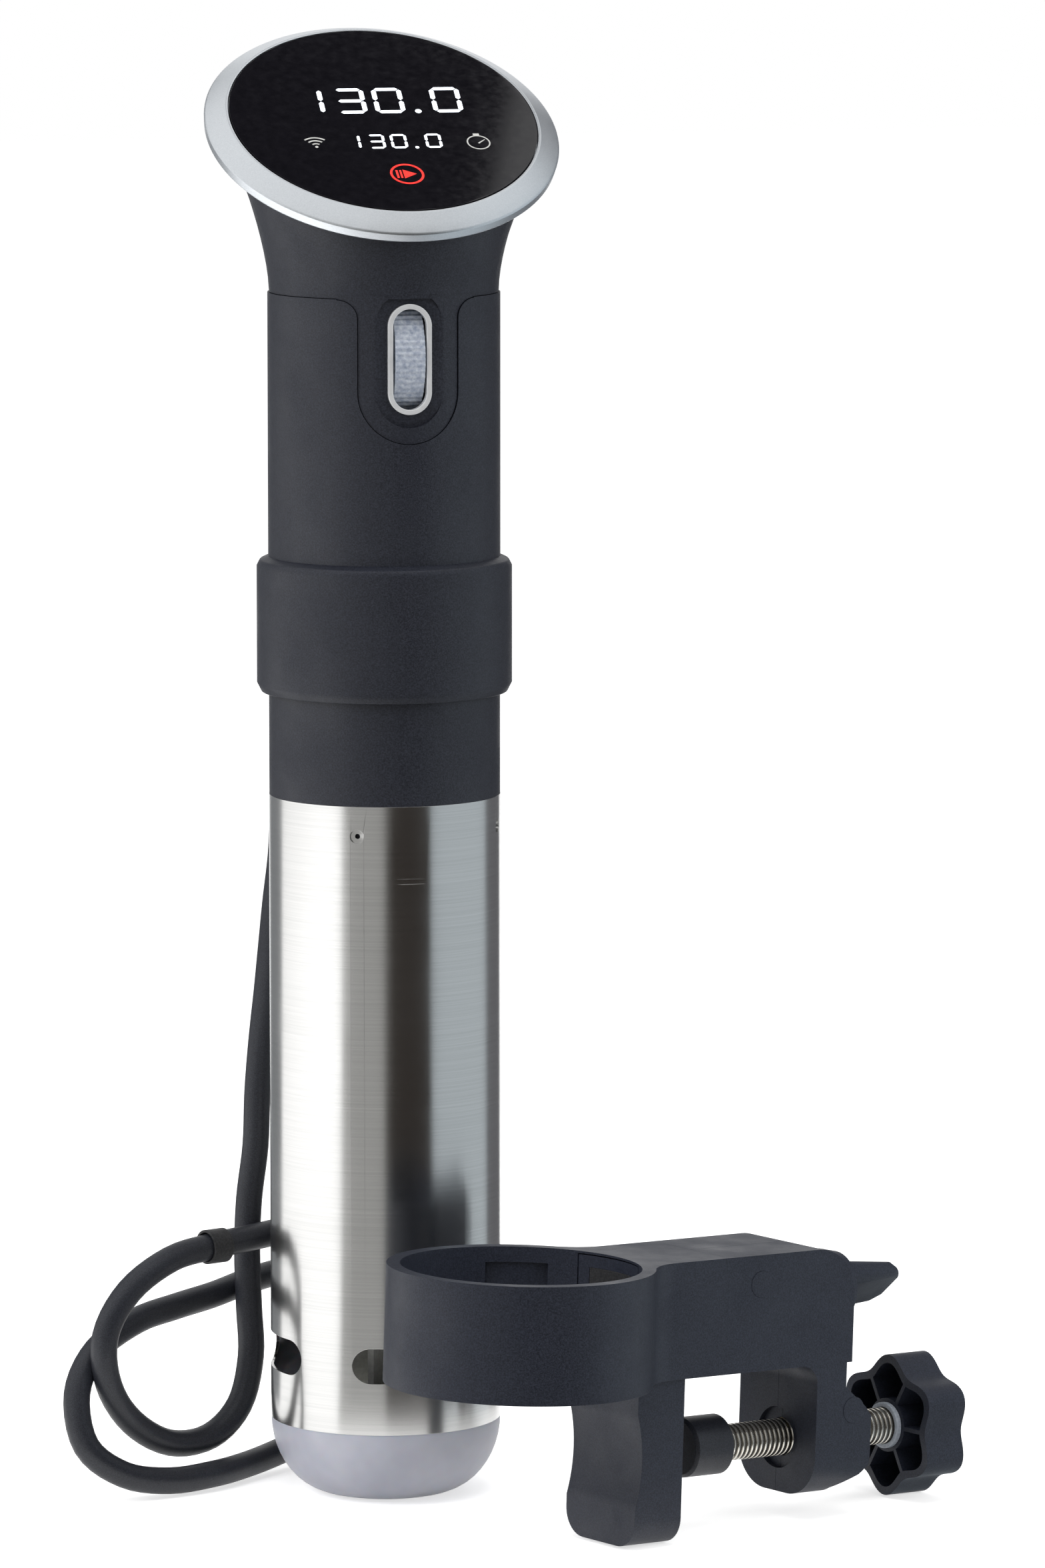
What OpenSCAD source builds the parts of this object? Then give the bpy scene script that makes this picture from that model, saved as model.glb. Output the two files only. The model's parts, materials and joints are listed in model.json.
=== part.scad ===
// Sous vide circulator with its removable pot clamp and its mains lead.
// Frame: origin at the centre of the foot on the floor, +Z up, display side towards -Y.
// All sizes are in millimetres.

/* [Body tube] */
// Outside diameter of the plastic body tube and the steel skirt
tube_d = 60; // [54:1:72]
// Wall of the plastic housings
housing_wall = 2.4; // [2:0.1:3]
// Height of the frosted foot cap
foot_h = 19.7; // [14:0.1:26]
// Diameter of the flat face under the foot cap
foot_flat_d = 28; // [20:1:34]
// Length of the steel skirt
skirt_h = 163.6; // [130:0.1:200]
// Wall of the steel skirt
skirt_wall = 0.8; // [0.6:0.1:1]
// Length of the plain housing between skirt and grip collar
lower_housing_h = 26.7; // [20:0.1:36]
// Length of the grip collar
collar_h = 35.2; // [28:0.1:44]
// How far the grip collar stands proud of the tube
collar_step = 3; // [2:0.1:4]
// Length of the upper housing
upper_housing_h = 68.1; // [62:0.1:84]

/* [Skirt slots] */
// Height of a water slot
slot_h = 9.2; // [6:0.1:12]
// Width of a water slot across the tube
slot_w = 30; // [20:1:34]
// Height of the slot centres above the top of the foot cap
slot_above_foot = 18.1; // [14:0.1:24]

/* [Head] */
// Diameter of the glass display
glass_d = 80; // [72:1:88]
// Thickness of the glass
glass_t = 2; // [1.5:0.1:2.5]
// Width of the metal bezel around the glass
bezel_w = 5.85; // [4.5:0.05:7]
// Depth of the metal bezel
bezel_depth = 6.2; // [5.5:0.1:8]
// Tilt of the display from the horizontal
head_tilt = 32; // [20:1:40]
// Height of the head from the body seam to the centre of the glass
head_h = 44.2; // [38:0.1:52]

/* [Control wheel] */
// Radius of the control wheel
wheel_r = 17; // [14:0.5:18]
// Width of the control wheel
wheel_w = 7.8; // [6:0.1:8]
// Diameter of the wheel's axle
axle_d = 3; // [2:0.1:4]
// Height of the wheel axis below the body seam
wheel_drop = 15.3; // [14.5:0.1:18]

/* [Drive and heater] */
// Diameter of the drive shaft
shaft_d = 4; // [3:0.1:5]
// Diameter of the motor
motor_d = 36; // [30:1:40]
// Length of the motor
motor_h = 40; // [30:1:46]
// Diameter of the impeller
impeller_d = 28; // [22:1:32]
// Diameter of the heater tube
heater_d = 6.4; // [5:0.1:7]
// Mean radius of the heater coil
heater_coil_r = 16; // [14.5:0.1:17]

/* [Pot clamp] */
// Radial clearance between the clamp ring and the body tube
ring_clearance = 0.5; // [0.2:0.1:1]
// Wall of the clamp ring
ring_wall = 3.5; // [3:0.1:5]
// Height of the clamp ring and of its arm
ring_h = 30; // [26:1:34]
// Height of the ring above the bottom of the fixed leg
leg_h = 43; // [38:1:50]
// Width of the fixed leg across the arm
leg_w = 28; // [24:1:30]
// Width of the arm
arm_w = 31; // [30:1:36]
// Free gap between fixed leg and jaw
jaw_gap = 42.6; // [34:0.1:50]
// Diameter of the clamp screw
screw_d = 9.5; // [8:0.1:10]
// Pitch of the clamp screw
screw_pitch = 1.5; // [1:0.25:2]
// Diameter of the hand knob
knob_d = 37; // [32:1:40]
// Thickness of the hand knob
knob_t = 12.4; // [10:0.1:16]
// Diameter of the pressure cup
cup_d = 15.5; // [14:0.1:17]

/* [Mains lead] */
// Diameter of the mains lead
cord_d = 7; // [6:0.1:8]

/* [Hidden] */
$fn = 96;

// Working clearances
run_gap = 0.05;
seam_gap = 0.25;
eps = 0.01;

// Heights of the seams, counted up from the floor
tube_r = tube_d / 2;
skirt_z = foot_h;
housing_z = skirt_z + skirt_h;
collar_z = housing_z + lower_housing_h;
upper_z = collar_z + collar_h;
seam_z = upper_z + upper_housing_h;
glass_z = seam_z + head_h;

// Radii that belong to the housings
bore_r = tube_r - housing_wall;
skirt_bore_r = tube_r - skirt_wall;
spigot_r = skirt_bore_r - run_gap;
spigot_h = 14.3;
lip_h = 4;
lip_r = bore_r + housing_wall / 2;

// Plain shapes
module tube(outer_r, inner_r, h) {
    difference() {
        cylinder(r = outer_r, h = h);
        translate([0, 0, -1]) cylinder(r = inner_r, h = h + 2);
    }
}

// A flat outline with two round ends, tall in Y
module obround(width, height) {
    union() {
        square([width, height - width], center = true);
        for (side = [-1, 1]) translate([0, side * (height - width) / 2]) circle(d = width);
    }
}

// A rectangle with round corners, centred
module round_rect(width, depth, corner) {
    union() {
        square([width - 2 * corner, depth], center = true);
        square([width, depth - 2 * corner], center = true);
        for (x = [-1, 1], y = [-1, 1])
            translate([x * (width / 2 - corner), y * (depth / 2 - corner)]) circle(r = corner, $fn = 48);
    }
}

// ---------------------------------------------------------------- swept tube helpers
// Catmull-Rom point between b and c
function spline_point(a, b, c, d, t) =
    0.5 * ((2 * b) + (c - a) * t + (2 * a - 5 * b + 4 * c - d) * t * t
        + (3 * b - a - 3 * c + d) * t * t * t);

// Points along a smooth curve through a route, with a given number of steps per span
function smooth_route(route, steps) =
    let (last = len(route) - 1)
    concat(
        [for (i = [0 : last - 1], s = [0 : steps - 1])
            spline_point(route[max(i - 1, 0)], route[i], route[i + 1], route[min(i + 2, last)], s / steps)],
        [route[last]]);

function unit(v) = v / norm(v);
function path_direction(path, i) = unit(path[min(i + 1, len(path) - 1)] - path[max(i - 1, 0)]);

// Side vectors carried along a path so that the section never twists
function side_vectors(path, i = 0, side = [1, 0, 0], made = []) =
    i == len(path) ? made :
    let (
        along = path_direction(path, i),
        square_side = unit(side - along * (side * along))
    )
    side_vectors(path, i + 1, square_side, concat(made, [square_side]));

module swept_tube(path, radius, sides, start_side = [1, 0, 0]) {
    side_list = side_vectors(path, 0, start_side);
    ring_points = [
        for (i = [0 : len(path) - 1])
            let (along = path_direction(path, i), across = side_list[i], up = cross(along, across))
            for (k = [0 : sides - 1])
                path[i] + radius * (cos(360 * k / sides) * across + sin(360 * k / sides) * up)
    ];
    last_ring = (len(path) - 1) * sides;
    walls = [
        for (i = [0 : len(path) - 2], k = [0 : sides - 1])
            let (a = i * sides + k, b = i * sides + (k + 1) % sides)
            each [[a, b + sides, b], [a, a + sides, b + sides]]
    ];
    caps = [[for (k = [0 : sides - 1]) k], [for (k = [sides - 1 : -1 : 0]) last_ring + k]];
    polyhedron(points = ring_points, faces = concat(walls, caps), convexity = 10);
}

// ---------------------------------------------------------------- foot and skirt
foot_steps = 12;
foot_wall = 1.8;

// Quarter ellipse from the rim of the foot down to its flat face
function bowl_curve(rim_r, flat_r, depth) = [
    for (i = [0 : foot_steps])
        [flat_r + (rim_r - flat_r) * cos(90 * i / foot_steps), foot_h - depth * sin(90 * i / foot_steps)]
];

module foot_cap() {
    flat_r = foot_flat_d / 2;
    rim_r = tube_r - 0.1;
    inner = bowl_curve(rim_r - foot_wall, flat_r - foot_wall, foot_h - foot_wall);
    color([0.62, 0.63, 0.68, 0.8]) union() {
        rotate_extrude() polygon(concat(
            [[0, foot_wall], [0, 0]],
            [for (i = [foot_steps : -1 : 0]) bowl_curve(rim_r, flat_r, foot_h)[i]],
            inner));
        translate([0, 0, foot_h - 2]) tube(skirt_bore_r - run_gap, skirt_bore_r - foot_wall, 7);
    }
}

slot_z = skirt_z + slot_above_foot;
dimple_z = housing_z - 7.7;
dimple_angles = [for (i = [0 : 3]) 63 + 90 * i];
mark_z = housing_z - 19.3;

module steel_skirt() {
    color([0.75, 0.75, 0.76]) difference() {
        union() {
            translate([0, 0, skirt_z]) tube(tube_r, skirt_bore_r, skirt_h);
            for (angle = dimple_angles)
                rotate([0, 0, angle]) translate([skirt_bore_r - 0.9, 0, dimple_z])
                    rotate([0, 90, 0]) cylinder(r = 2.4, h = 1.2);
        }
        for (angle = [0 : 90 : 270])
            rotate([0, 0, angle]) translate([0, 0, slot_z]) rotate([90, 0, 0])
                translate([0, 0, tube_r / 2]) linear_extrude(tube_r) rotate(90) obround(slot_h, slot_w);
        for (angle = dimple_angles)
            rotate([0, 0, angle]) translate([skirt_bore_r - 0.1, 0, dimple_z])
                rotate([0, 90, 0]) cylinder(r = 1.8, h = 2);
        for (angle = dimple_angles)
            rotate([0, 0, angle]) translate([skirt_bore_r - 2, 0, dimple_z])
                rotate([0, 90, 0]) cylinder(r = 0.65, h = 4);
        translate([0, -tube_r - 0.75, mark_z]) cube([11.8, 2, 1.3], center = true);
    }
}

// ---------------------------------------------------------------- housings
screw_boss_r = 22.5;
twist_range = 20;

module lower_housing() {
    color([0.09, 0.1, 0.12]) difference() {
        union() {
            translate([0, 0, housing_z]) tube(tube_r - 0.1, bore_r, lower_housing_h);
            translate([0, 0, housing_z - spigot_h]) tube(spigot_r, bore_r, spigot_h + 1);
            translate([0, 0, collar_z - 1]) tube(lip_r, bore_r, lip_h + 1);
            for (angle = [0 : 120 : 240])
                rotate([0, 0, angle]) translate([screw_boss_r, 0, housing_z - 9])
                    difference() {
                        union() {
                            cylinder(r = 3.2, h = 14);
                            translate([0, -2, 0]) cube([bore_r - screw_boss_r + 0.6, 4, 14]);
                        }
                        translate([0, 0, -1]) cylinder(r = 1.3, h = 12, $fn = 32);
                    }
        }
        for (angle = dimple_angles)
            rotate([0, 0, angle - 6]) translate([0, 0, dimple_z - 3])
                rotate_extrude(angle = twist_range + 12)
                    translate([spigot_r - 1.3, 0]) square([2, 6]);
    }
}

module grip_collar() {
    outer = tube_r + collar_step;
    color([0.1, 0.11, 0.13]) translate([0, 0, collar_z]) rotate_extrude() polygon([
        [lip_r + 0.1, 0],
        [outer - 1.2, 0],
        [outer, 2.4],
        [outer, collar_h - 2.6],
        [outer - 0.8, collar_h - 1],
        [tube_r, collar_h],
        [lip_r + 0.1, collar_h]
    ]);
}

tongue_w = 26;
tongue_drop = 36.8;
tongue_corner = 5;
neck_step = 0.4;
neck_r = tube_r - neck_step;

// Outline of the tongue that hangs from the neck, seen from the front, with its top on the seam
module tongue_outline(grow) {
    half = tongue_w / 2 + grow;
    union() {
        translate([0, -(tongue_drop - tongue_w / 2)]) circle(r = half);
        translate([-half, -(tongue_drop - tongue_w / 2)])
            square([2 * half, tongue_drop - tongue_w / 2 + 2]);
        difference() {
            translate([-half - tongue_corner + grow, -tongue_corner])
                square([2 * (half + tongue_corner - grow), tongue_corner + 2]);
            for (side = [-1, 1])
                translate([side * (half + tongue_corner - grow), -tongue_corner])
                    circle(r = tongue_corner - grow);
        }
    }
}

module upper_housing() {
    relief_z = seam_z - relief_drop;
    color([0.09, 0.1, 0.12]) difference() {
        union() {
            translate([0, 0, upper_z]) tube(tube_r, bore_r, upper_housing_h);
            translate([0, 0, upper_z - lip_h]) tube(lip_r, bore_r, lip_h + 1);
        }
        translate([0, 0, seam_z]) rotate([90, 0, 0]) linear_extrude(tube_r + 5)
            tongue_outline(seam_gap);
        translate([0, 0, relief_z]) rotate([-90, 0, 0]) cylinder(r = relief_neck_r + 0.1, h = tube_r + 5);
    }
}

// ---------------------------------------------------------------- head
loft_rings = 12;
loft_sides = 48;
shell_wall = 2.2;
shell_top_r = glass_d / 2 + 1;
rim_centre = [0, bezel_depth * sin(head_tilt), glass_z - bezel_depth * cos(head_tilt)];

// One ring of the flare from the round neck to the tilted rim, t from 0 to 1
function flare_ring(t, inset) =
    let (
        base = [0, 0, seam_z + 0.15],
        centre = base + (rim_centre - base) * t,
        radius = neck_r + (shell_top_r - neck_r) * pow(t, 1.6) - inset,
        tilt = head_tilt * t
    )
    [for (k = [0 : loft_sides - 1])
        let (a = 360 * k / loft_sides)
        centre + radius * [cos(a), sin(a) * cos(tilt), sin(a) * sin(tilt)]];

module flare() {
    outer = [for (i = [0 : loft_rings]) each flare_ring(i / loft_rings, 0)];
    inner = [for (i = [0 : loft_rings]) each flare_ring(i / loft_rings, shell_wall)];
    n = loft_sides;
    shift = len(outer);
    skin = [for (i = [0 : loft_rings - 1], k = [0 : n - 1])
        let (a = i * n + k, b = i * n + (k + 1) % n)
        each [[a, b + n, b], [a, a + n, b + n], [shift + a, shift + b, shift + b + n],
            [shift + a, shift + b + n, shift + a + n]]];
    top = loft_rings * n;
    rims = [for (k = [0 : n - 1])
        let (a = k, b = (k + 1) % n)
        each [[a, b, shift + b], [a, shift + b, shift + a],
            [top + a, shift + top + b, top + b], [top + a, shift + top + a, shift + top + b]]];
    polyhedron(points = concat(outer, inner), faces = concat(skin, rims), convexity = 6);
}

window_z = seam_z - wheel_drop;
scoop_y = tube_r - 1.7;
window_w = 11.4;
window_h = 28.3;
window_wall = 1.3;
sleeve_h = 0.9;

module head_shell() {
    color([0.09, 0.1, 0.12]) {
        flare();
        difference() {
            union() {
                intersection() {
                    translate([0, 0, seam_z - tongue_drop - 1]) tube(neck_r, bore_r - 0.1, tongue_drop + 2);
                    translate([0, 0, seam_z - 0.1]) rotate([90, 0, 0])
                        linear_extrude(tube_r + 5) tongue_outline(0);
                }
                translate([0, 0, seam_z - 5]) tube(bore_r - 0.1, bore_r - 2, 6);
            }
            translate([0, 0, window_z]) rotate([90, 0, 0]) linear_extrude(tube_r + 5)
                obround(window_w - 1, window_h - 1);
            translate([0, -scoop_y, window_z]) rotate([90, 0, 0]) linear_extrude(5) obround(17.6, 35);
            translate([-20, -20, seam_z + 0.15]) cube([40, 40, 3]);
        }
    }
}

// Everything below is placed in the tilted plane of the glass
module in_head() {
    translate([0, 0, glass_z]) rotate([head_tilt, 0, 0]) children();
}

bezel_r = glass_d / 2 + 0.15 + bezel_w;
ledge_t = 2.2;
ledge_r = glass_d / 2 - 4.5;
board_t = 1.6;
board_r = glass_d / 2 - 3.2;
ledge_z = -glass_t - ledge_t;

module display_bezel() {
    glass_seat_r = glass_d / 2 + 0.15;
    color([0.72, 0.72, 0.73]) in_head() rotate_extrude($fn = 128) polygon([
        [glass_seat_r, -0.1],
        [glass_seat_r + 0.6, 0],
        [bezel_r - 0.5, -2.9],
        [bezel_r, -3.4],
        [bezel_r - 0.3, -bezel_depth + 0.5],
        [bezel_r - 0.8, -bezel_depth],
        [board_r + 1, -bezel_depth],
        [board_r + 1, -bezel_depth - 1.3],
        [board_r + 0.1, -bezel_depth - 1.3],
        [board_r + 0.1, ledge_z],
        [ledge_r, ledge_z],
        [ledge_r, -glass_t],
        [glass_seat_r, -glass_t]
    ]);
}

module display_glass() {
    color([0.02, 0.02, 0.03]) in_head() translate([0, 0, -glass_t])
        cylinder(r = glass_d / 2 - 0.15, h = glass_t, $fn = 128);
}

module display_module() {
    color([0.15, 0.15, 0.17]) in_head() translate([0, 0, ledge_z + 1])
        cube([48, 36, 2], center = true);
}

module display_board() {
    color([0.05, 0.25, 0.12]) in_head() translate([0, 0, ledge_z - board_t]) difference() {
        cylinder(r = board_r, h = board_t);
        for (angle = [30 : 120 : 270])
            rotate([0, 0, angle]) translate([ledge_r - 2, 0, -1]) cylinder(r = 1.6, h = board_t + 2, $fn = 32);
    }
}

module board_screws() {
    color([0.6, 0.6, 0.6]) in_head()
        for (angle = [30 : 120 : 270])
            rotate([0, 0, angle]) translate([ledge_r - 2, 0, ledge_z - board_t - 1.4])
                union() {
                    cylinder(r = 2.6, h = 1.4, $fn = 32);
                    cylinder(r = 1.55, h = 1.4 + board_t + 1.6, $fn = 32);
                }
}

// ---------------------------------------------------------------- control wheel
wheel_proud = 0.3;
wheel_y = -(tube_r + wheel_proud - wheel_r);
bracket_gap = 0.6;
cheek_t = 2;

module at_wheel() {
    translate([0, wheel_y, window_z]) rotate([0, 90, 0]) children();
}

module window_frame() {
    color([0.85, 0.85, 0.87]) translate([0, 0, window_z]) rotate([90, 0, 0]) union() {
        translate([0, 0, scoop_y]) linear_extrude(1.2) difference() {
            obround(window_w, window_h);
            obround(window_w - 2 * window_wall, window_h - 2 * window_wall);
        }
        translate([0, 0, scoop_y - sleeve_h]) linear_extrude(sleeve_h + 0.1) difference() {
            obround(window_w - 1.1, window_h - 1.1);
            obround(window_w - 2 * window_wall, window_h - 2 * window_wall);
        }
    }
}

module control_wheel() {
    teeth = 72;
    depth = 0.25;
    color([0.8, 0.85, 0.88, 0.6]) at_wheel() difference() {
        linear_extrude(wheel_w, center = true) polygon([
            for (i = [0 : 2 * teeth - 1])
                let (a = 180 * i / teeth, r = wheel_r - (i % 2) * depth)
                [r * cos(a), r * sin(a)]
        ]);
        cylinder(d = axle_d + 2 * run_gap, h = wheel_w + 2, center = true);
    }
}

module wheel_axle() {
    color([0.7, 0.7, 0.72]) at_wheel()
        cylinder(d = axle_d, h = wheel_w + 2 * (bracket_gap + cheek_t), center = true);
}

module wheel_bracket() {
    cheek_x = wheel_w / 2 + bracket_gap;
    color([0.2, 0.2, 0.22]) difference() {
        intersection() {
            for (side = [-1, 1])
                translate([side * (cheek_x + cheek_t / 2), wheel_y - 7, window_z])
                    cube([cheek_t, 24, 18], center = true);
            cylinder(r = bore_r - 0.1, h = seam_z + 10);
        }
        at_wheel() cylinder(d = axle_d, h = wheel_w + 20, center = true);
    }
}

// ---------------------------------------------------------------- bulkhead, drive and heater
bulkhead_z = housing_z - spigot_h;
bulkhead_t = 2.4;
plug_r = bore_r - 1.5;
plug_h = 5;
tube_outer_r = shaft_d / 2 + 2.6;
probe_angle = 60;
probe_r = 2.4;
probe_at = heater_coil_r + heater_d / 2 + 1.2 + probe_r;
rod_angles = [160, 200];
rod_r = 1.5;
coil_turns = 5;
coil_pitch = 13;
coil_z = 60;

module through_bulkhead(radius) {
    translate([0, 0, bulkhead_z - bulkhead_t - 1]) cylinder(r = radius, h = bulkhead_t + plug_h + 2, $fn = 48);
}

module bulkhead() {
    color([0.7, 0.7, 0.71]) difference() {
        union() {
            translate([0, 0, bulkhead_z - bulkhead_t]) cylinder(r = spigot_r - 0.3, h = bulkhead_t);
            translate([0, 0, bulkhead_z - eps]) cylinder(r = plug_r, h = plug_h);
        }
        through_bulkhead(tube_outer_r);
        translate(heater_coil_r * [cos(-90), sin(-90), 0]) through_bulkhead(heater_d / 2 + 0.1);
        translate(heater_coil_r * [0, 1, 0]) through_bulkhead(heater_d / 2 + 0.1);
        rotate([0, 0, probe_angle]) translate([probe_at, 0, 0]) through_bulkhead(probe_r);
        for (angle = rod_angles)
            rotate([0, 0, angle]) translate([probe_at, 0, 0]) through_bulkhead(rod_r);
        for (angle = [0 : 120 : 240])
            rotate([0, 0, angle]) translate([screw_boss_r, 0, 0]) through_bulkhead(1.6);
    }
}

module bulkhead_seal() {
    color([0.06, 0.06, 0.06]) translate([0, 0, bulkhead_z + 1]) tube(bore_r - 0.03, plug_r + 0.02, 2);
}

module bulkhead_screws() {
    color([0.6, 0.6, 0.62])
        for (angle = [0 : 120 : 240])
            rotate([0, 0, angle]) translate([screw_boss_r, 0, bulkhead_z - bulkhead_t - 1.8])
                union() {
                    cylinder(r = 2.5, h = 1.8, $fn = 32);
                    cylinder(r = 1.25, h = 16, $fn = 32);
                }
}

guide_bottom = 50;

module shaft_tube() {
    top = bulkhead_z + plug_h;
    color([0.72, 0.72, 0.73]) translate([0, 0, guide_bottom])
        tube(tube_outer_r, shaft_d / 2 + 1.6, top - guide_bottom);
}

module shaft_bush() {
    color([0.75, 0.6, 0.35])
        for (z = [guide_bottom, bulkhead_z - 4])
            translate([0, 0, z]) tube(shaft_d / 2 + 1.6, shaft_d / 2 + run_gap, 8);
}

impeller_z = 27;
impeller_h = 16;
mount_z = collar_z + lip_h;
mount_t = 3;
motor_z = mount_z + mount_t;

module drive_shaft() {
    color([0.78, 0.78, 0.8]) translate([0, 0, impeller_z])
        cylinder(d = shaft_d, h = motor_z + motor_h - 3 - impeller_z);
}

module impeller() {
    hub_r = 5;
    color([0.85, 0.85, 0.83]) translate([0, 0, impeller_z]) difference() {
        union() {
            cylinder(r = hub_r, h = impeller_h);
            cylinder(d = impeller_d, h = 1.6);
            for (angle = [0 : 60 : 300])
                rotate([0, 0, angle]) translate([hub_r - 1, -0.8, 0])
                    cube([impeller_d / 2 - hub_r + 0.6, 1.6, impeller_h - 3]);
        }
        translate([0, 0, -1]) cylinder(d = shaft_d, h = impeller_h + 2);
    }
}

coil_steps = 20;

function heater_path() =
    let (
        turns = coil_turns + 0.5,
        count = round(turns * coil_steps),
        low = coil_z,
        high = coil_z + turns * coil_pitch,
        top = bulkhead_z + plug_h + 6
    )
    concat(
        [for (z = [top : -12 : high + 12]) [0, -heater_coil_r, z]],
        [for (i = [0 : count])
            let (a = -90 + 360 * turns * i / count, z = high - (high - low) * i / count)
            heater_coil_r * [cos(a), sin(a), 0] + [0, 0, z]]
    );

module heater_coil() {
    // The helix ends below the far leg, which rises outside the drive tube's guard
    color([0.6, 0.58, 0.55]) union() {
        swept_tube(heater_path(), heater_d / 2, 10);
        translate([0, heater_coil_r, coil_z - 0.1])
            cylinder(d = heater_d, h = bulkhead_z + plug_h + 6 - coil_z);
    }
}

module temperature_probe() {
    color([0.78, 0.78, 0.79]) rotate([0, 0, probe_angle]) translate([probe_at, 0, 60]) union() {
        cylinder(r = probe_r - 0.03, h = bulkhead_z + plug_h + 4 - 60, $fn = 48);
        sphere(r = probe_r - 0.03, $fn = 48);
    }
}

module level_rods() {
    color([0.78, 0.78, 0.79])
        for (angle = rod_angles)
            rotate([0, 0, angle]) translate([probe_at, 0, 118])
                cylinder(r = rod_r - 0.03, h = bulkhead_z + plug_h + 4 - 118, $fn = 48);
}

module motor_mount() {
    color([0.25, 0.25, 0.27]) translate([0, 0, mount_z]) difference() {
        cylinder(r = lip_r, h = mount_t);
        translate([0, 0, -1]) cylinder(r = 6, h = mount_t + 2);
        translate([-16, bore_r - 7.2, -1]) cube([32, 2, mount_t + 2]);
    }
}

module motor_case() {
    wall = 1.5;
    color([0.45, 0.45, 0.47]) translate([0, 0, motor_z]) difference() {
        cylinder(d = motor_d, h = motor_h);
        translate([0, 0, wall + 4]) cylinder(d = motor_d - 2 * wall, h = motor_h - 2 * wall - 4);
        translate([0, 0, -1]) cylinder(r = 5, h = wall + 6);
    }
}

module motor_rotor() {
    color([0.3, 0.3, 0.33]) translate([0, 0, motor_z + 8]) difference() {
        cylinder(d = motor_d - 6, h = motor_h - 16);
        translate([0, 0, -1]) cylinder(d = shaft_d, h = motor_h);
    }
}

module motor_bearing() {
    color([0.7, 0.7, 0.72]) translate([0, 0, motor_z + 0.5]) tube(5, shaft_d / 2 + run_gap, 4.5);
}

board_y = bore_r - 6.2;

module power_board() {
    color([0.06, 0.3, 0.14]) translate([-15, board_y - 0.8, mount_z + 0.5])
        cube([30, 1.6, 78]);
}

module power_components() {
    color([0.2, 0.2, 0.22]) {
        for (x = [-7, 7])
            translate([x, board_y - 0.8, motor_z + motor_h + 13]) rotate([90, 0, 0])
                cylinder(d = 10, h = 9, $fn = 48);
        translate([-9, board_y - 12.8, motor_z + motor_h + 2]) cube([18, 12, 4]);
    }
}

// ---------------------------------------------------------------- mains lead
relief_drop = 13;
relief_len = 30;
relief_neck_r = 5.5;
relief_tip_r = 4.6;

module strain_relief() {
    color([0.05, 0.05, 0.06]) translate([0, 0, seam_z - relief_drop]) rotate([-90, 0, 0])
        difference() {
            union() {
                translate([0, 0, bore_r - 2.5]) cylinder(r = relief_neck_r + 1.5, h = 1.6);
                translate([0, 0, bore_r - 1.5]) cylinder(r = relief_neck_r, h = housing_wall + 3);
                translate([0, 0, tube_r + 0.2]) cylinder(r = relief_neck_r + 1.2, h = 2.2);
                translate([0, 0, tube_r]) cylinder(r1 = relief_neck_r, r2 = relief_tip_r, h = relief_len);
            }
            translate([0, 0, tube_r + relief_len - 8]) cylinder(d = cord_d + 0.1, h = 9);
        }
}

// Hand-chosen points of the lead: straight out of the relief, down behind the body, twice round
// in loose loops that stand on the floor, and back behind the body to the plug
lead_exit = [0, tube_r + relief_len - 8, seam_z - relief_drop];
lead_route = [
    lead_exit,
    lead_exit + [0, 14, 0],
    lead_exit + [0, 28, -3],
    lead_exit + [0, 39, -11],
    lead_exit + [-1, 47, -22],
    lead_exit + [-2, 50, -36],
    lead_exit + [-3, 50, -50],
    [-3, 100, 236], [-3, 96, 223], [-4, 92, 209], [-6, 88, 196], [-8, 83, 183],
    [-10, 77, 170], [-12, 71, 158], [-15, 64, 147], [-18, 56, 136], [-21, 48, 125],
    [-24, 41, 113], [-26, 37, 100], [-27, 35, 86], [-29, 34, 72], [-30, 32, 58],
    [-30, 30, 44], [-30, 28, 31], [-34, 24, 19], [-43, 19, 12], [-55, 13, 12],
    [-66, 8, 19], [-73, 4, 30], [-74, 3, 43], [-67, 6, 54], [-55, 11, 61],
    [-43, 16, 63], [-30, 22, 64], [-18.6, 29.6, 64], [-6, 34, 62], [6, 38, 56],
    [14, 41, 46], [17, 42, 34], [13, 41, 22], [3, 39, 13], [-10, 36, 8],
    [-22, 29, 5], [-33, 19, 4], [-44, 9, 4], [-57, 3, 4], [-70, -1, 7],
    [-80, -1, 15], [-82, 4, 28], [-75, 10, 38], [-63, 17, 44], [-51, 24, 46],
    [-39, 33, 47], [-27, 41, 49], [-15, 48, 50], [-4, 54, 49], [6, 61, 45],
    [15, 69, 38], [21, 78, 30], [26, 88, 21], [28, 99, 13], [28, 111, 8], [28, 120, 7]
];
lead_end = lead_route[len(lead_route) - 1];

module cord_lead() {
    color([0.03, 0.03, 0.04]) swept_tube(smooth_route(lead_route, 1), cord_d / 2, 10);
}

band_at = [-42, 16.5, 63];

module cord_band() {
    // A thin strap round the upper strand of the loops
    color([0.04, 0.04, 0.04]) translate(band_at) rotate([0, 0, 24]) rotate([0, 90, 0])
        translate([0, 0, -3]) tube(cord_d / 2 + 1, cord_d / 2 + 0.3, 6);
}

plug_len = 34;
plug_w = 25;
plug_h2 = 14;

module plug_body() {
    color([0.04, 0.04, 0.05]) translate(lead_end) union() {
        rotate([-90, 0, 0]) cylinder(r1 = cord_d / 2 + 0.8, r2 = cord_d / 2 + 2, h = 16);
        translate([0, 16 + plug_len / 2, 0]) rotate([90, 0, 0])
            linear_extrude(plug_len, center = true) round_rect(plug_w, plug_h2, 4);
    }
}

module plug_pins() {
    color([0.8, 0.75, 0.5])
        for (x = [-6.35, 6.35])
            translate(lead_end + [x, 16 + plug_len + 8, 0]) cube([1.5, 16, 6.3], center = true);
}

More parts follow.
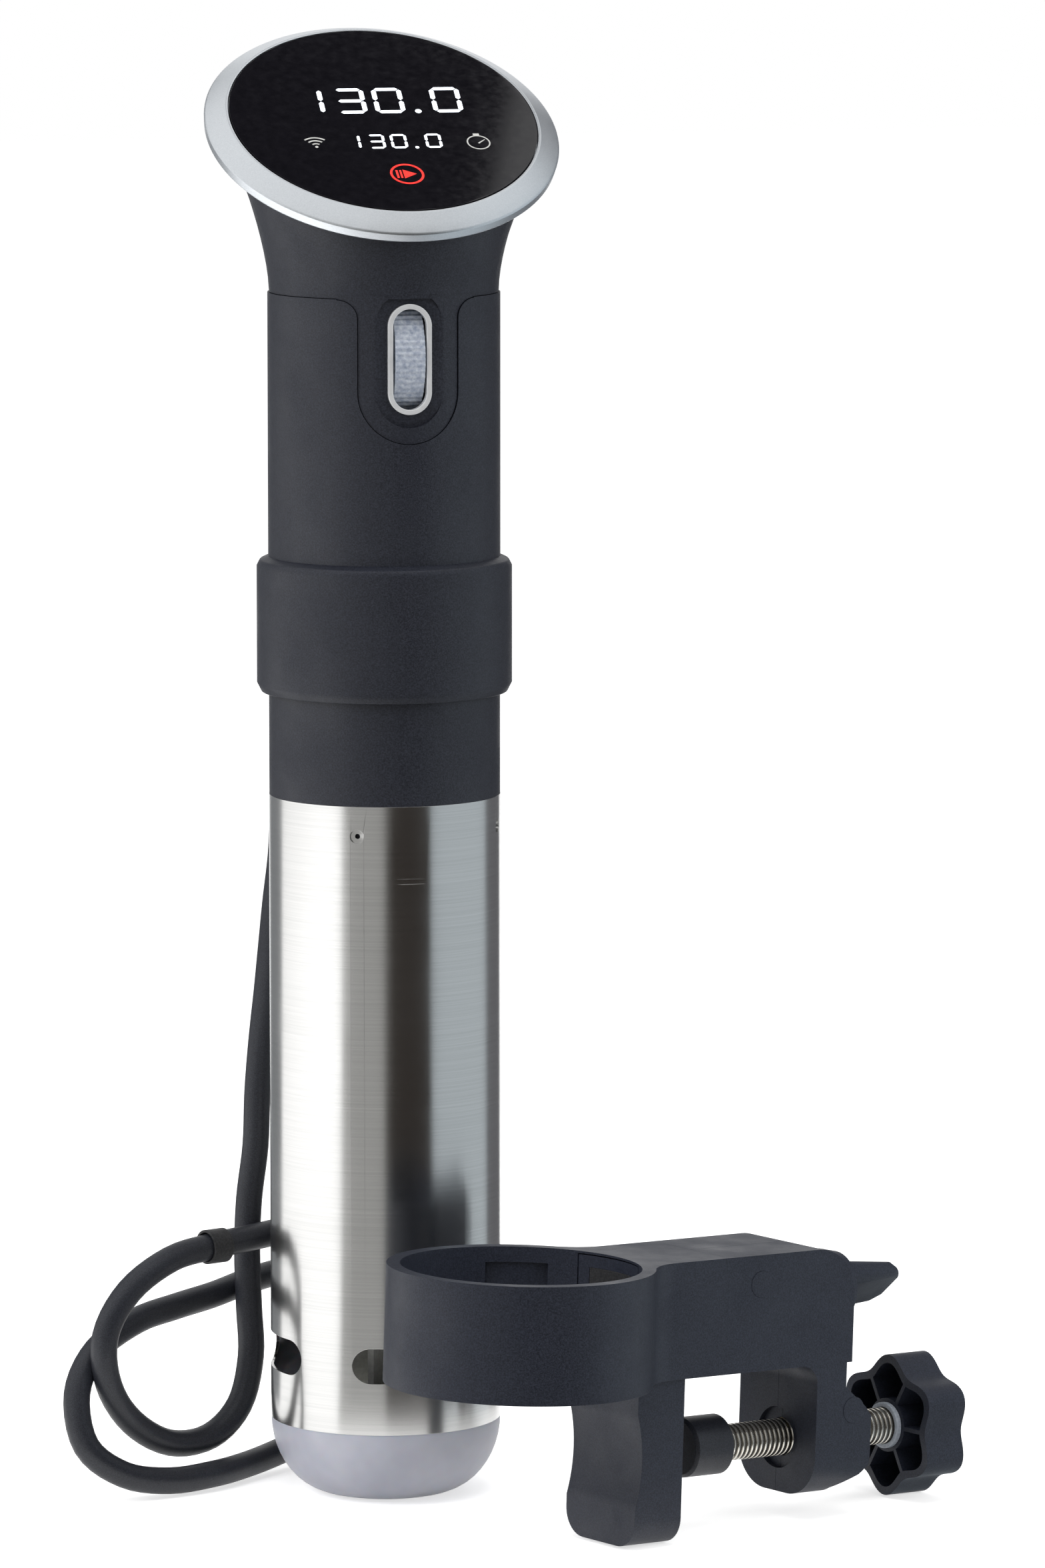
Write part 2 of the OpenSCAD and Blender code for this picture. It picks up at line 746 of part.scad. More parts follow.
// ---------------------------------------------------------------- pot clamp
// The clamp has its own frame: u along the arm from the ring's centre, v across, w up from the leg's foot
clamp_at = [11, -93, 0];
clamp_turn = 24;
ring_bore_r = tube_r + ring_clearance;
ring_r = ring_bore_r + ring_wall;
leg_t = 15;
leg_u = ring_r + 9;
leg_back_u = leg_u - leg_t;
arm_low = leg_h;
arm_top = leg_h + ring_h;
seam_u = leg_u + 12;
jaw_u = leg_u + jaw_gap;
jaw_t = 9.7;
arm_end_u = jaw_u + 11.4;
boss_u = jaw_u + 18.4;
jaw_low = 8;
screw_w = 22;
boss_half = 9.5;
blend_r = 14;
arm_corner = 12.5;
cup_u = leg_u + 10;
cup_t = 12;
cup_socket = 6;
knob_gap = 18.6;
knob_u = boss_u + knob_gap;
knob_end_u = knob_u + knob_t;
washer_t = 1.4;
wing_w = arm_low + ring_h * 0.57;
wing_rod_r = 2.9;
shoe_w = 24;
shoe_h = 24;
shoe_back_u = ring_bore_r + 3.5;
shoe_socket = 1.7;
shoe_retract = 2;
shoe_press = 1.2;

// The clamp stands on the foot of its leg and on its knob, so it leans a little
clamp_tilt = atan((screw_w - knob_d / 2) / (knob_end_u - leg_u));

module in_clamp() {
    translate(clamp_at) rotate([0, 0, clamp_turn])
        translate([leg_u, 0, 0]) rotate([0, clamp_tilt, 0]) translate([-leg_u, 0, 0]) children();
}

// Puts an outline drawn in (u, w) across the clamp, between two values of v
module across_clamp(v_low, v_high) {
    translate([0, v_high, 0]) rotate([90, 0, 0]) linear_extrude(v_high - v_low) children();
}

// Puts a shape's +Z along +u at a place on the arm
module along_arm(u, v, w) {
    translate([u, v, w]) rotate([0, 90, 0]) children();
}

blend_steps = 10;

// Hollow blend from the ring's outside to the side of the arm, on the side with the given sign
function blend_points(side) =
    let (
        blend_v = arm_w / 2 + blend_r,
        blend_u = sqrt(pow(ring_r + blend_r, 2) - pow(blend_v, 2)),
        start = atan2(blend_v, blend_u)
    )
    concat(
        [(ring_r - 2) * [cos(start), side * sin(start)]],
        [for (i = [1 : blend_steps])
            let (a = start + (90 - start) * i / blend_steps)
            [blend_u, side * blend_v] - blend_r * [cos(a), side * sin(a)]]);

module arm_outline() {
    near = blend_points(-1);
    far = blend_points(1);
    polygon(concat(near, [[seam_u, -arm_w / 2], [seam_u, arm_w / 2]],
        [for (i = [len(far) - 1 : -1 : 0]) far[i]]));
}

module leg_side_outline() {
    hollow_r = 42;
    difference() {
        translate([leg_back_u, 0]) square([leg_t, arm_low + 1]);
        translate([leg_back_u - hollow_r + 1.8, arm_low * 0.52]) circle(r = hollow_r);
    }
}

module leg_front_outline() {
    foot_corner = 7;
    union() {
        translate([-leg_w / 2, foot_corner]) square([leg_w, arm_low + 2]);
        translate([-leg_w / 2 + foot_corner, 0]) square([leg_w - 2 * foot_corner, foot_corner + 1]);
        for (side = [-1, 1])
            translate([side * (leg_w / 2 - foot_corner), foot_corner]) circle(r = foot_corner);
    }
}

module clamp_ring() {
    color([0.09, 0.1, 0.12]) in_clamp() difference() {
        union() {
            translate([0, 0, arm_low]) rotate([0, 0, 180]) cylinder(r = ring_r, h = ring_h);
            translate([0, 0, arm_low]) linear_extrude(ring_h) arm_outline();
            intersection() {
                across_clamp(-leg_w / 2, leg_w / 2) leg_side_outline();
                translate([leg_back_u - 1, 0, 0]) rotate([90, 0, 90])
                    linear_extrude(leg_t + 2) leg_front_outline();
            }
        }
        translate([0, 0, arm_low - 1]) rotate([0, 0, 180]) cylinder(r = ring_bore_r, h = ring_h + 2);
        // Pocket of the pressure shoe
        translate([ring_bore_r - 8, -shoe_w / 2 - 0.3, wing_w - shoe_h / 2 - 0.3])
            cube([8 + 3.5 + shoe_retract + 0.5, shoe_w + 0.6, shoe_h + 0.6]);
        along_arm(ring_bore_r, 0, wing_w) cylinder(r = wing_rod_r + 0.3, h = seam_u);
        // Shallow grip panel beside the shoe
        rotate([0, 0, 54]) translate([ring_bore_r - 2, -8, arm_low + 4]) cube([2.8, 16, ring_h - 8]);
    }
}

module jaw_side_outline() {
    difference() {
        union() {
            translate([seam_u, arm_low]) square([arm_end_u - seam_u - arm_corner, ring_h]);
            translate([seam_u, arm_low]) square([arm_end_u - seam_u, ring_h - arm_corner]);
            translate([arm_end_u - arm_corner, arm_top - arm_corner]) circle(r = arm_corner);
            translate([jaw_u, jaw_low]) square([jaw_t, arm_top - arm_corner - jaw_low]);
            polygon([
                [jaw_u, screw_w - boss_half - 3],
                [jaw_u + jaw_t, screw_w - boss_half - 3],
                [boss_u - 2, screw_w - boss_half + 0.5],
                [boss_u, screw_w - boss_half + 3],
                [boss_u, screw_w + boss_half - 3],
                [boss_u - 2, screw_w + boss_half - 0.5],
                [jaw_u + jaw_t, screw_w + boss_half + 5],
                [jaw_u, screw_w + boss_half + 5]
            ]);
            translate([jaw_u - 5, arm_low - 5]) square([6, 6]);
        }
        translate([jaw_u - 5, arm_low - 5]) circle(r = 5);
    }
}

module jaw_front_outline() {
    corner = 11;
    union() {
        translate([-arm_w / 2, jaw_low + corner]) square([arm_w, arm_top - jaw_low]);
        translate([-arm_w / 2 + corner, jaw_low]) square([arm_w - 2 * corner, corner + 1]);
        for (side = [-1, 1])
            translate([side * (arm_w / 2 - corner), jaw_low + corner]) circle(r = corner);
    }
}

nut_t = 8;
nut_r = 8.6;
nut_u = jaw_u + 3;
wing_nut_u = arm_end_u - 9;
screw_plug_at = [[seam_u + 11, arm_top - 7.5], [boss_u - 6, screw_w + 8.4]];

// One half of the moving-jaw arm, on the side with the given sign
module jaw_half(side) {
    v_low = side > 0 ? 0.05 : -arm_w / 2;
    v_high = side > 0 ? arm_w / 2 : -0.05;
    color([0.09, 0.1, 0.12]) in_clamp() difference() {
        intersection() {
            across_clamp(v_low, v_high) jaw_side_outline();
            translate([seam_u - 1, 0, 0]) rotate([90, 0, 90])
                linear_extrude(boss_u - seam_u + 2) jaw_front_outline();
        }
        along_arm(seam_u - 1, 0, wing_w) cylinder(r = wing_rod_r + 0.3, h = arm_end_u);
        along_arm(wing_nut_u, 0, wing_w) cylinder(r = 5.1, h = 7, $fn = 6);
        along_arm(jaw_u - 1, 0, screw_w) cylinder(d = screw_d + 0.4, h = boss_u);
        along_arm(nut_u, 0, screw_w) cylinder(r = nut_r + 0.1, h = nut_t + 0.1, $fn = 6);
        along_arm(jaw_u - 1, 0, screw_w) cylinder(d = cup_d + 0.5, h = 2.6);
        for (spot = screw_plug_at)
            translate([spot[0], 0, spot[1]]) rotate([-90 * side, 0, 0]) {
                translate([0, 0, arm_w / 2 - 1.5]) cylinder(r = 3.45, h = 3);
                if (side < 0) translate([0, 0, arm_w / 2 - 4]) cylinder(r = 3, h = 3);
                translate([0, 0, -1]) cylinder(r = side < 0 ? 1.6 : 1.25, h = side < 0 ? 14 : 9);
            }
    }
}

module jaw_near() {
    jaw_half(-1);
}

module jaw_far() {
    jaw_half(1);
}

module jaw_screw_plugs() {
    color([0.08, 0.09, 0.1]) in_clamp()
        for (spot = screw_plug_at, side = [-1, 1])
            translate([spot[0], 0, spot[1]]) rotate([-90 * side, 0, 0])
                translate([0, 0, arm_w / 2 - 1.5]) cylinder(r = 3.4, h = 1.6);
}

module jaw_screws() {
    color([0.6, 0.6, 0.62]) in_clamp()
        for (spot = screw_plug_at)
            translate([spot[0], 0, spot[1]]) rotate([90, 0, 0]) union() {
                translate([0, 0, arm_w / 2 - 4]) cylinder(r = 2.7, h = 2, $fn = 32);
                translate([0, 0, -7]) cylinder(r = 1.2, h = arm_w / 2 + 4, $fn = 32);
            }
}

module screw_nut() {
    color([0.75, 0.62, 0.35]) in_clamp() along_arm(nut_u, 0, screw_w) difference() {
        cylinder(r = nut_r, h = nut_t, $fn = 6);
        translate([0, 0, -1]) cylinder(d = screw_d + 2 * run_gap, h = nut_t + 2);
    }
}

module clamp_screw() {
    start_u = cup_u + cup_t - cup_socket + 0.2;
    color([0.75, 0.73, 0.66]) in_clamp() along_arm(start_u, 0, screw_w)
        cylinder(d = screw_d, h = knob_end_u - 4 - start_u);
}

knob_lobes = 6;
knob_wave = 1.6;
knob_points = 120;

function knob_outline(inset) = [
    for (i = [0 : knob_points - 1])
        let (a = 360 * i / knob_points, r = knob_d / 2 - knob_wave - inset + knob_wave * cos(knob_lobes * a))
        [r * cos(a), r * sin(a)]
];

module hand_knob() {
    hub_r = 7;
    rib_t = 1.1;
    floor_t = 2.4;
    color([0.08, 0.09, 0.11]) in_clamp() along_arm(knob_u, 0, screw_w) difference() {
        linear_extrude(knob_t) polygon(knob_outline(0));
        translate([0, 0, -1]) linear_extrude(knob_t - floor_t + 1) difference() {
            polygon(knob_outline(2.2));
            circle(r = hub_r);
            for (angle = [0 : 60 : 300])
                rotate(angle + 30) translate([0, -rib_t / 2]) square([knob_d / 2, rib_t]);
        }
        translate([0, 0, -1]) cylinder(d = screw_d, h = knob_t - 4 + 1);
    }
}

module knob_washer() {
    color([0.7, 0.72, 0.75]) in_clamp() along_arm(knob_u - washer_t, 0, screw_w)
        tube(6, screw_d / 2 + 0.05, washer_t);
}

module pressure_cup() {
    color([0.07, 0.07, 0.08]) in_clamp() along_arm(cup_u, 0, screw_w) difference() {
        union() {
            cylinder(r1 = cup_d / 2 - 0.8, r2 = cup_d / 2, h = 0.8);
            translate([0, 0, 0.8]) cylinder(d = cup_d, h = cup_t - 0.8);
        }
        translate([0, 0, cup_t - cup_socket]) cylinder(d = screw_d + 2 * run_gap, h = cup_socket + 1);
    }
}

wing_gap = 1.5;
wing_u = arm_end_u + wing_gap;
wing_base_h = 5;
wing_len = 22.5;
wing_turn = 50;

module wing_head() {
    color([0.08, 0.09, 0.11]) in_clamp() along_arm(wing_u, 0, wing_w) rotate([0, 0, wing_turn])
        difference() {
            union() {
                cylinder(r1 = 10, r2 = 9, h = wing_base_h);
                hull() {
                    translate([0, 0, wing_base_h - 1]) linear_extrude(1) round_rect(17, 7, 3);
                    translate([0, 0, wing_len - 4]) linear_extrude(1) round_rect(15, 4.5, 2);
                    translate([0, 0, wing_len - 1]) linear_extrude(1) round_rect(11, 3.4, 1.6);
                }
            }
            translate([0, 0, -1]) cylinder(r = wing_rod_r, h = 9);
        }
}

module wing_rod() {
    start_u = shoe_back_u - shoe_socket + 0.2;
    color([0.7, 0.7, 0.71]) in_clamp() along_arm(start_u, 0, wing_w)
        cylinder(r = wing_rod_r, h = wing_u + 8 - start_u);
}

module wing_nut_insert() {
    color([0.75, 0.62, 0.35]) in_clamp() along_arm(wing_nut_u + 0.5, 0, wing_w) difference() {
        cylinder(r = 5, h = 6, $fn = 6);
        translate([0, 0, -1]) cylinder(r = wing_rod_r + run_gap, h = 8);
    }
}

pad_t = 1.2;

module pressure_shoe() {
    color([0.11, 0.11, 0.13]) in_clamp() difference() {
        translate([ring_bore_r - 6, -shoe_w / 2, wing_w - shoe_h / 2])
            cube([shoe_back_u - ring_bore_r + 6, shoe_w, shoe_h]);
        translate([0, 0, arm_low - 1]) cylinder(r = ring_bore_r + 0.02, h = ring_h + 2);
        translate([ring_bore_r - 6, -shoe_w / 2 + 3, wing_w - shoe_h / 2 + 3]) intersection() {
            cube([8, shoe_w - 6, shoe_h - 6]);
            translate([6 - ring_bore_r, shoe_w / 2 - 3, -1]) cylinder(r = ring_bore_r + pad_t, h = shoe_h);
        }
        along_arm(shoe_back_u - shoe_socket, 0, wing_w) cylinder(r = wing_rod_r + run_gap, h = 4);
    }
}

module shoe_pad() {
    color([0.05, 0.05, 0.05]) in_clamp() intersection() {
        translate([ring_bore_r - 6, -shoe_w / 2 + 3.05, wing_w - shoe_h / 2 + 3.05])
            cube([9, shoe_w - 6.1, shoe_h - 6.1]);
        translate([0, 0, arm_low]) tube(ring_bore_r + pad_t - 0.02, ring_bore_r + 0.02, ring_h);
    }
}

foot_cap();
steel_skirt();
lower_housing();
grip_collar();
upper_housing();
head_shell();
display_bezel();
display_glass();
display_module();
display_board();
board_screws();
window_frame();
control_wheel();
wheel_axle();
wheel_bracket();
bulkhead();
bulkhead_seal();
bulkhead_screws();
shaft_tube();
shaft_bush();
drive_shaft();
impeller();
heater_coil();
temperature_probe();
level_rods();
motor_mount();
motor_case();
motor_rotor();
motor_bearing();
power_board();
power_components();
strain_relief();
cord_lead();
cord_band();
plug_body();
plug_pins();
clamp_ring();
jaw_near();
jaw_far();
jaw_screw_plugs();
jaw_screws();
screw_nut();
clamp_screw();
hand_knob();
knob_washer();
pressure_cup();
wing_head();
wing_rod();
wing_nut_insert();
pressure_shoe();
shoe_pad();
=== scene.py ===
import json
import math

import bpy
from mathutils import Matrix, Vector


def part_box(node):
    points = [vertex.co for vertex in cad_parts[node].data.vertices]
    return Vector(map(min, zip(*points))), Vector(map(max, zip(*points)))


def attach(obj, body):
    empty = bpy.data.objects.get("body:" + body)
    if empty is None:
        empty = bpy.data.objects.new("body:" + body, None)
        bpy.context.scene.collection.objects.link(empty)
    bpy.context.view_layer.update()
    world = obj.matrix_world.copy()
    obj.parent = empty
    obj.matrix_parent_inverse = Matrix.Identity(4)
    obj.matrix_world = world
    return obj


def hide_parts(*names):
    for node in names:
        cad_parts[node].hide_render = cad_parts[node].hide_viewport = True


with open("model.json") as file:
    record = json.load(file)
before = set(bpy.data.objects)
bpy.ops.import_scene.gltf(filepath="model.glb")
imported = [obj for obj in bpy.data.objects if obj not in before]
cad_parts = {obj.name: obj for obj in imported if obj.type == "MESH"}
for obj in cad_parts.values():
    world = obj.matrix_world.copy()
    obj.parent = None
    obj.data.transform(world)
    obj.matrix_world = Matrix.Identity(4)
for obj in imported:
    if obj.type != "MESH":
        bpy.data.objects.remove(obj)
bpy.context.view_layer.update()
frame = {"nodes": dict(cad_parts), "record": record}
nodes = frame["nodes"]
scene = bpy.context.scene
MM = 0.001

# ------------------------------------------------------------------ camera and the lead
CAMERA_AZIMUTH = math.radians(-14)  # the camera stands in front and a little to the left
CAMERA_DISTANCE = 2.35
CAMERA_HEIGHT = 0.488
AIM_RIGHT = 0.0357
AIM_HEIGHT = 0.1855
LENS = 210
SENSOR_WIDTH = 36
CLIP = (0.05, 50)

right_dir = Vector((math.cos(CAMERA_AZIMUTH), math.sin(CAMERA_AZIMUTH), 0))
forward_dir = Vector((-math.sin(CAMERA_AZIMUTH), math.cos(CAMERA_AZIMUTH), 0))


def make_camera():
    data = bpy.data.cameras.new("camera")
    data.lens = LENS
    data.sensor_width = SENSOR_WIDTH
    data.clip_start, data.clip_end = CLIP
    obj = bpy.data.objects.new("camera", data)
    scene.collection.objects.link(obj)
    place = right_dir * AIM_RIGHT - forward_dir * CAMERA_DISTANCE + Vector((0, 0, CAMERA_HEIGHT))
    aim = right_dir * AIM_RIGHT + Vector((0, 0, AIM_HEIGHT))
    obj.location = place
    obj.rotation_euler = (aim - place).to_track_quat("-Z", "Y").to_euler()
    scene.camera = obj


make_camera()

SEAM_Z = 313.3
EXIT = (0, 52, SEAM_Z - 13)  # where the lead leaves its strain relief, in millimetres
LEAD_DIAMETER = 0.007
STEPS_PER_SPAN = 5
LEAD_ROUTE = [
    EXIT, (0, 66, EXIT[2]), (0, 80, EXIT[2] - 3), (0, 91, EXIT[2] - 11),
    (-1, 99, EXIT[2] - 22), (-2, 102, EXIT[2] - 36), (-3, 102, EXIT[2] - 50),
    (-3, 100, 236), (-3, 96, 223), (-4, 92, 209), (-6, 88, 196), (-8, 83, 183),
    (-10, 77, 170), (-12, 71, 158), (-15, 64, 147), (-18, 56, 136), (-21, 48, 125),
    (-24, 41, 113), (-26, 37, 100), (-27, 35, 86), (-29, 34, 72), (-30, 32, 58),
    (-30, 30, 44), (-30, 28, 31), (-34, 24, 19), (-43, 19, 12), (-55, 13, 12),
    (-66, 8, 19), (-73, 4, 30), (-74, 3, 43), (-67, 6, 54), (-55, 11, 61),
    (-43, 16, 63), (-30, 22, 64), (-18.6, 29.6, 64), (-6, 34, 62), (6, 38, 56),
    (14, 41, 46), (17, 42, 34), (13, 41, 22), (3, 39, 13), (-10, 36, 8),
    (-22, 29, 5), (-33, 19, 4), (-44, 9, 4), (-57, 3, 4), (-70, -1, 7),
    (-80, -1, 15), (-81.4, 4, 28), (-75, 10, 38), (-63, 17, 44), (-51, 24, 46),
    (-39, 33, 47), (-27, 41, 49), (-15, 48, 50), (-4, 54, 49), (6, 61, 45),
    (15, 69, 38), (21, 78, 30), (26, 88, 21), (28, 99, 13), (28, 111, 8), (28, 120, 7),
]


def spline_point(a, b, c, d, t):
    """A point between b and c on the smooth curve through a, b, c and d."""
    return 0.5 * (2 * b + (c - a) * t + (2 * a - 5 * b + 4 * c - d) * t * t
                  + (3 * b - a - 3 * c + d) * t ** 3)


def smooth_route(points, steps):
    points = [Vector(p) for p in points]
    last = len(points) - 1
    line = []
    for i in range(last):
        quad = [points[max(i - 1, 0)], points[i], points[i + 1], points[min(i + 2, last)]]
        line += [spline_point(*quad, s / steps) for s in range(steps)]
    return line + [points[last]]


def make_lead():
    """One round tube. Each point holds the radius, because the curve's box grows by it."""
    line = [p * MM for p in smooth_route(LEAD_ROUTE, STEPS_PER_SPAN)]
    data = bpy.data.curves.new("mains_lead", "CURVE")
    data.dimensions = "3D"
    data.bevel_depth = 1
    data.bevel_resolution = 6
    data.use_fill_caps = True
    spline = data.splines.new("POLY")
    spline.points.add(len(line) - 1)
    for point, place in zip(spline.points, line):
        point.co = (*place, 1)
        point.radius = LEAD_DIAMETER / 2
    spline.use_smooth = True
    obj = bpy.data.objects.new("mains_lead", data)
    scene.collection.objects.link(obj)
    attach(obj, "circulator")
    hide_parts("cord_lead")
    return obj


lead = make_lead()

# ------------------------------------------------------------------ materials


NOISE_ROUGHNESS = 0.6


class Shader:
    """A small builder round one material's node tree."""

    def __init__(self, name):
        self.material = bpy.data.materials.new(name)
        self.material.use_nodes = True
        self.tree = self.material.node_tree
        self.surface = self.tree.nodes["Principled BSDF"]
        self.place = self.add("ShaderNodeTexCoord").outputs["Object"]

    def add(self, kind, **values):
        node = self.tree.nodes.new(kind)
        for key, value in values.items():
            setattr(node, key, value)
        return node

    def link(self, source, target):
        self.tree.links.new(source, target)

    def set(self, **values):
        for key, value in values.items():
            self.surface.inputs[key.replace("_", " ")].default_value = value

    def noise(self, scale, detail=3, stretch=None):
        node = self.add("ShaderNodeTexNoise")
        node.inputs["Scale"].default_value = scale
        node.inputs["Detail"].default_value = detail
        node.inputs["Roughness"].default_value = NOISE_ROUGHNESS
        source = self.place
        if stretch:
            mapping = self.add("ShaderNodeMapping")
            mapping.inputs["Scale"].default_value = stretch
            self.link(source, mapping.inputs["Vector"])
            source = mapping.outputs["Vector"]
        self.link(source, node.inputs["Vector"])
        return node.outputs["Fac"]

    def remap(self, source, low, high, start=0.3, end=0.7):
        node = self.add("ShaderNodeMapRange")
        node.inputs["From Min"].default_value = start
        node.inputs["From Max"].default_value = end
        node.inputs["To Min"].default_value = low
        node.inputs["To Max"].default_value = high
        self.link(source, node.inputs["Value"])
        return node.outputs["Result"]

    def blend(self, source, low, high, start=0.3, end=0.7):
        factor = self.remap(source, 0, 1, start, end)
        node = self.add("ShaderNodeMix", data_type="RGBA")
        # sockets 6 and 7 are the two colours, and output 2 is the mixed colour
        node.inputs[6].default_value = (*low, 1)
        node.inputs[7].default_value = (*high, 1)
        self.link(factor, node.inputs[0])
        return node.outputs[2]

    def colour(self, source):
        self.link(source, self.surface.inputs["Base Color"])

    def rough(self, source):
        self.link(source, self.surface.inputs["Roughness"])

    def bump(self, source, distance, strength):
        node = self.add("ShaderNodeBump")
        node.inputs["Distance"].default_value = distance
        node.inputs["Strength"].default_value = strength
        self.link(source, node.inputs["Height"])
        self.link(node.outputs["Normal"], self.surface.inputs["Normal"])


def moulded_plastic(name, dark, light, grain=2600, depth=0.00006, low=0.42, high=0.6):
    """Fine-grained plastic. low and high are the ends of its roughness."""
    s = Shader(name)
    grain_noise = s.noise(grain, 2)
    cloud = s.noise(60, 3)
    s.colour(s.blend(grain_noise, dark, light, 0.35, 0.7))
    s.rough(s.remap(cloud, low, high))
    s.bump(grain_noise, depth, 0.8)
    s.set(Specular_IOR_Level=0.4)
    return s.material


def brushed_metal(name, dark, light, stretch, low, high, depth=0.00001, strength=0.3, turned=0.0,
                  metallic=1.0):
    """Metal whose grain is noise stretched by the three scales. turned is its anisotropy."""
    s = Shader(name)
    lines = s.noise(1, 3, stretch)
    cloud = s.noise(25, 3)
    s.colour(s.blend(lines, dark, light, 0.25, 0.75))
    s.rough(s.remap(cloud, low, high))
    s.bump(lines, depth, strength)
    s.set(Metallic=metallic, Anisotropic=turned)
    return s.material


def frosted():
    s = Shader("frosted_plastic")
    grain = s.noise(5200, 2)
    depth = s.noise(45, 3)
    s.colour(s.blend(depth, (0.46, 0.47, 0.55), (0.60, 0.61, 0.68)))
    s.rough(s.remap(grain, 0.34, 0.5))
    s.bump(grain, 0.00003, 0.5)
    s.set(Transmission_Weight=0.18, IOR=1.46, Subsurface_Weight=0.25, Subsurface_Scale=0.004)
    return s.material


def clear_ribbed():
    s = Shader("clear_plastic")
    haze = s.noise(900, 3)
    s.colour(s.blend(haze, (0.36, 0.42, 0.53), (0.74, 0.79, 0.88)))
    s.rough(s.remap(haze, 0.08, 0.2))
    s.bump(haze, 0.00003, 0.4)
    s.set(Transmission_Weight=0.45, IOR=1.5)
    return s.material


def threaded_rod():
    """Steel with thread ridges as bump and shading, square to the screw axis."""
    s = Shader("steel_rod")
    axis = next(j["axis"] for j in frame["record"]["behaviour"]["joints"] if j["name"] == "cup_travel")
    along = s.add("ShaderNodeVectorMath", operation="DOT_PRODUCT")
    along.inputs[1].default_value = [v * math.tau / THREAD_PITCH for v in axis]
    s.link(s.place, along.inputs[0])
    ridge = s.add("ShaderNodeMath", operation="SINE")
    s.link(along.outputs["Value"], ridge.inputs[0])
    grime = s.noise(900, 3)
    s.colour(s.blend(ridge.outputs[0], (0.16, 0.14, 0.11), (0.82, 0.79, 0.72), -0.9, 0.4))
    s.rough(s.remap(grime, 0.14, 0.26))
    s.bump(ridge.outputs[0], 0.0003, 0.9)
    s.set(Metallic=0.85)
    return s.material


def dark_glass():
    s = Shader("black_glass")
    dust = s.noise(420, 4)
    s.colour(s.blend(dust, (0.0035, 0.0032, 0.0045), (0.006, 0.0055, 0.0075)))
    s.rough(s.remap(dust, 0.045, 0.09))
    s.bump(dust, 0.000002, 0.15)
    s.set(IOR=1.45)
    return s.material


GLOW_PATCHES = 0.82


def glow(name, colour, strength):
    """A glowing mark, a little uneven as lamps behind glass are. On printed marks the glow is painted
    light.
    """
    s = Shader(name)
    patch = s.noise(700, 2)
    dimmer = tuple(GLOW_PATCHES * c for c in colour)
    shade = s.blend(patch, dimmer, colour)
    s.colour(shade)
    s.link(shade, s.surface.inputs["Emission Color"])
    s.set(Emission_Strength=strength, Roughness=0.4)
    return s.material


def board_lacquer():
    s = Shader("board_green")
    tracks = s.noise(380, 2)
    s.colour(s.blend(tracks, (0.01, 0.09, 0.035), (0.02, 0.16, 0.06), 0.48, 0.52))
    s.rough(s.remap(tracks, 0.3, 0.45))
    s.bump(tracks, 0.00004, 0.5)
    return s.material


THREAD_PITCH = 1.5 * MM
MATERIALS = {
    "housing_plastic": moulded_plastic("housing_plastic", (0.0085, 0.0095, 0.0145),
                                       (0.021, 0.0235, 0.034)),
    "clamp_plastic": moulded_plastic("clamp_plastic", (0.0085, 0.0105, 0.018), (0.022, 0.026, 0.041)),
    "frosted_plastic": frosted(),
    "brushed_steel": brushed_metal("brushed_steel", (0.56, 0.56, 0.55), (0.64, 0.635, 0.625),
                                   (14, 14, 2600), 0.17, 0.23, 0.000005, 0.14, 0.2),
    "satin_bezel": brushed_metal("satin_bezel", (0.62, 0.65, 0.68), (0.72, 0.75, 0.78),
                                 (2600, 2600, 2600), 0.34, 0.42, 0.00002, 0.4),
    "black_glass": dark_glass(),
    "bright_chrome": brushed_metal("bright_chrome", (0.7, 0.71, 0.72), (0.8, 0.81, 0.82),
                                   (300, 300, 300), 0.14, 0.24, 0.000004, 0.2, 0.0, 0.45),
    "clear_plastic": clear_ribbed(),
    "steel_rod": threaded_rod(),
    "inner_plastic": moulded_plastic("inner_plastic", (0.05, 0.05, 0.055), (0.09, 0.09, 0.1)),
    "board_green": board_lacquer(),
    "screw_steel": brushed_metal("screw_steel", (0.4, 0.4, 0.41), (0.62, 0.62, 0.63),
                                 (900, 900, 900), 0.2, 0.35),
    "seal_rubber": moulded_plastic("seal_rubber", (0.012, 0.012, 0.013), (0.03, 0.03, 0.032), 1800),
    "bronze": brushed_metal("bronze", (0.42, 0.27, 0.12), (0.62, 0.43, 0.22),
                            (1500, 1500, 1500), 0.35, 0.5),
    "pump_white": moulded_plastic("pump_white", (0.62, 0.62, 0.58), (0.74, 0.74, 0.7), 900),
    "heater_steel": brushed_metal("heater_steel", (0.30, 0.28, 0.25), (0.46, 0.43, 0.39),
                                  (400, 400, 400), 0.3, 0.45),
    "motor_grey": moulded_plastic("motor_grey", (0.2, 0.2, 0.21), (0.3, 0.3, 0.31), 1400),
    "cord_rubber": moulded_plastic("cord_rubber", (0.010, 0.011, 0.015), (0.026, 0.028, 0.036),
                                   3400, 0.00004, 0.36, 0.5),
    "brass": brushed_metal("brass", (0.55, 0.42, 0.18), (0.75, 0.6, 0.3), (700, 700, 700), 0.18, 0.3),
    "nylon": moulded_plastic("nylon", (0.36, 0.40, 0.45), (0.5, 0.54, 0.6), 1400, 0.00004, 0.35, 0.5),
}

CLAMP_NODES = ("clamp_ring", "jaw_near", "jaw_far", "jaw_screw_plugs", "hand_knob", "wing_head",
               "pressure_shoe")
PLAIN_EDGE = 0.15
EDGE_WIDTH = {"clamp_ring": 0.9, "jaw_near": 0.9, "jaw_far": 0.9, "hand_knob": 0.9, "wing_head": 0.5,
              "grip_collar": 0.3, "pressure_cup": 0.6, "plug_body": 1.0, "display_glass": 0.2}
SHARP_ANGLE = math.radians(32)
WELD_DISTANCE = 0.000004
EDGE_SEGMENTS = 3
NORMAL_WEIGHT = 60


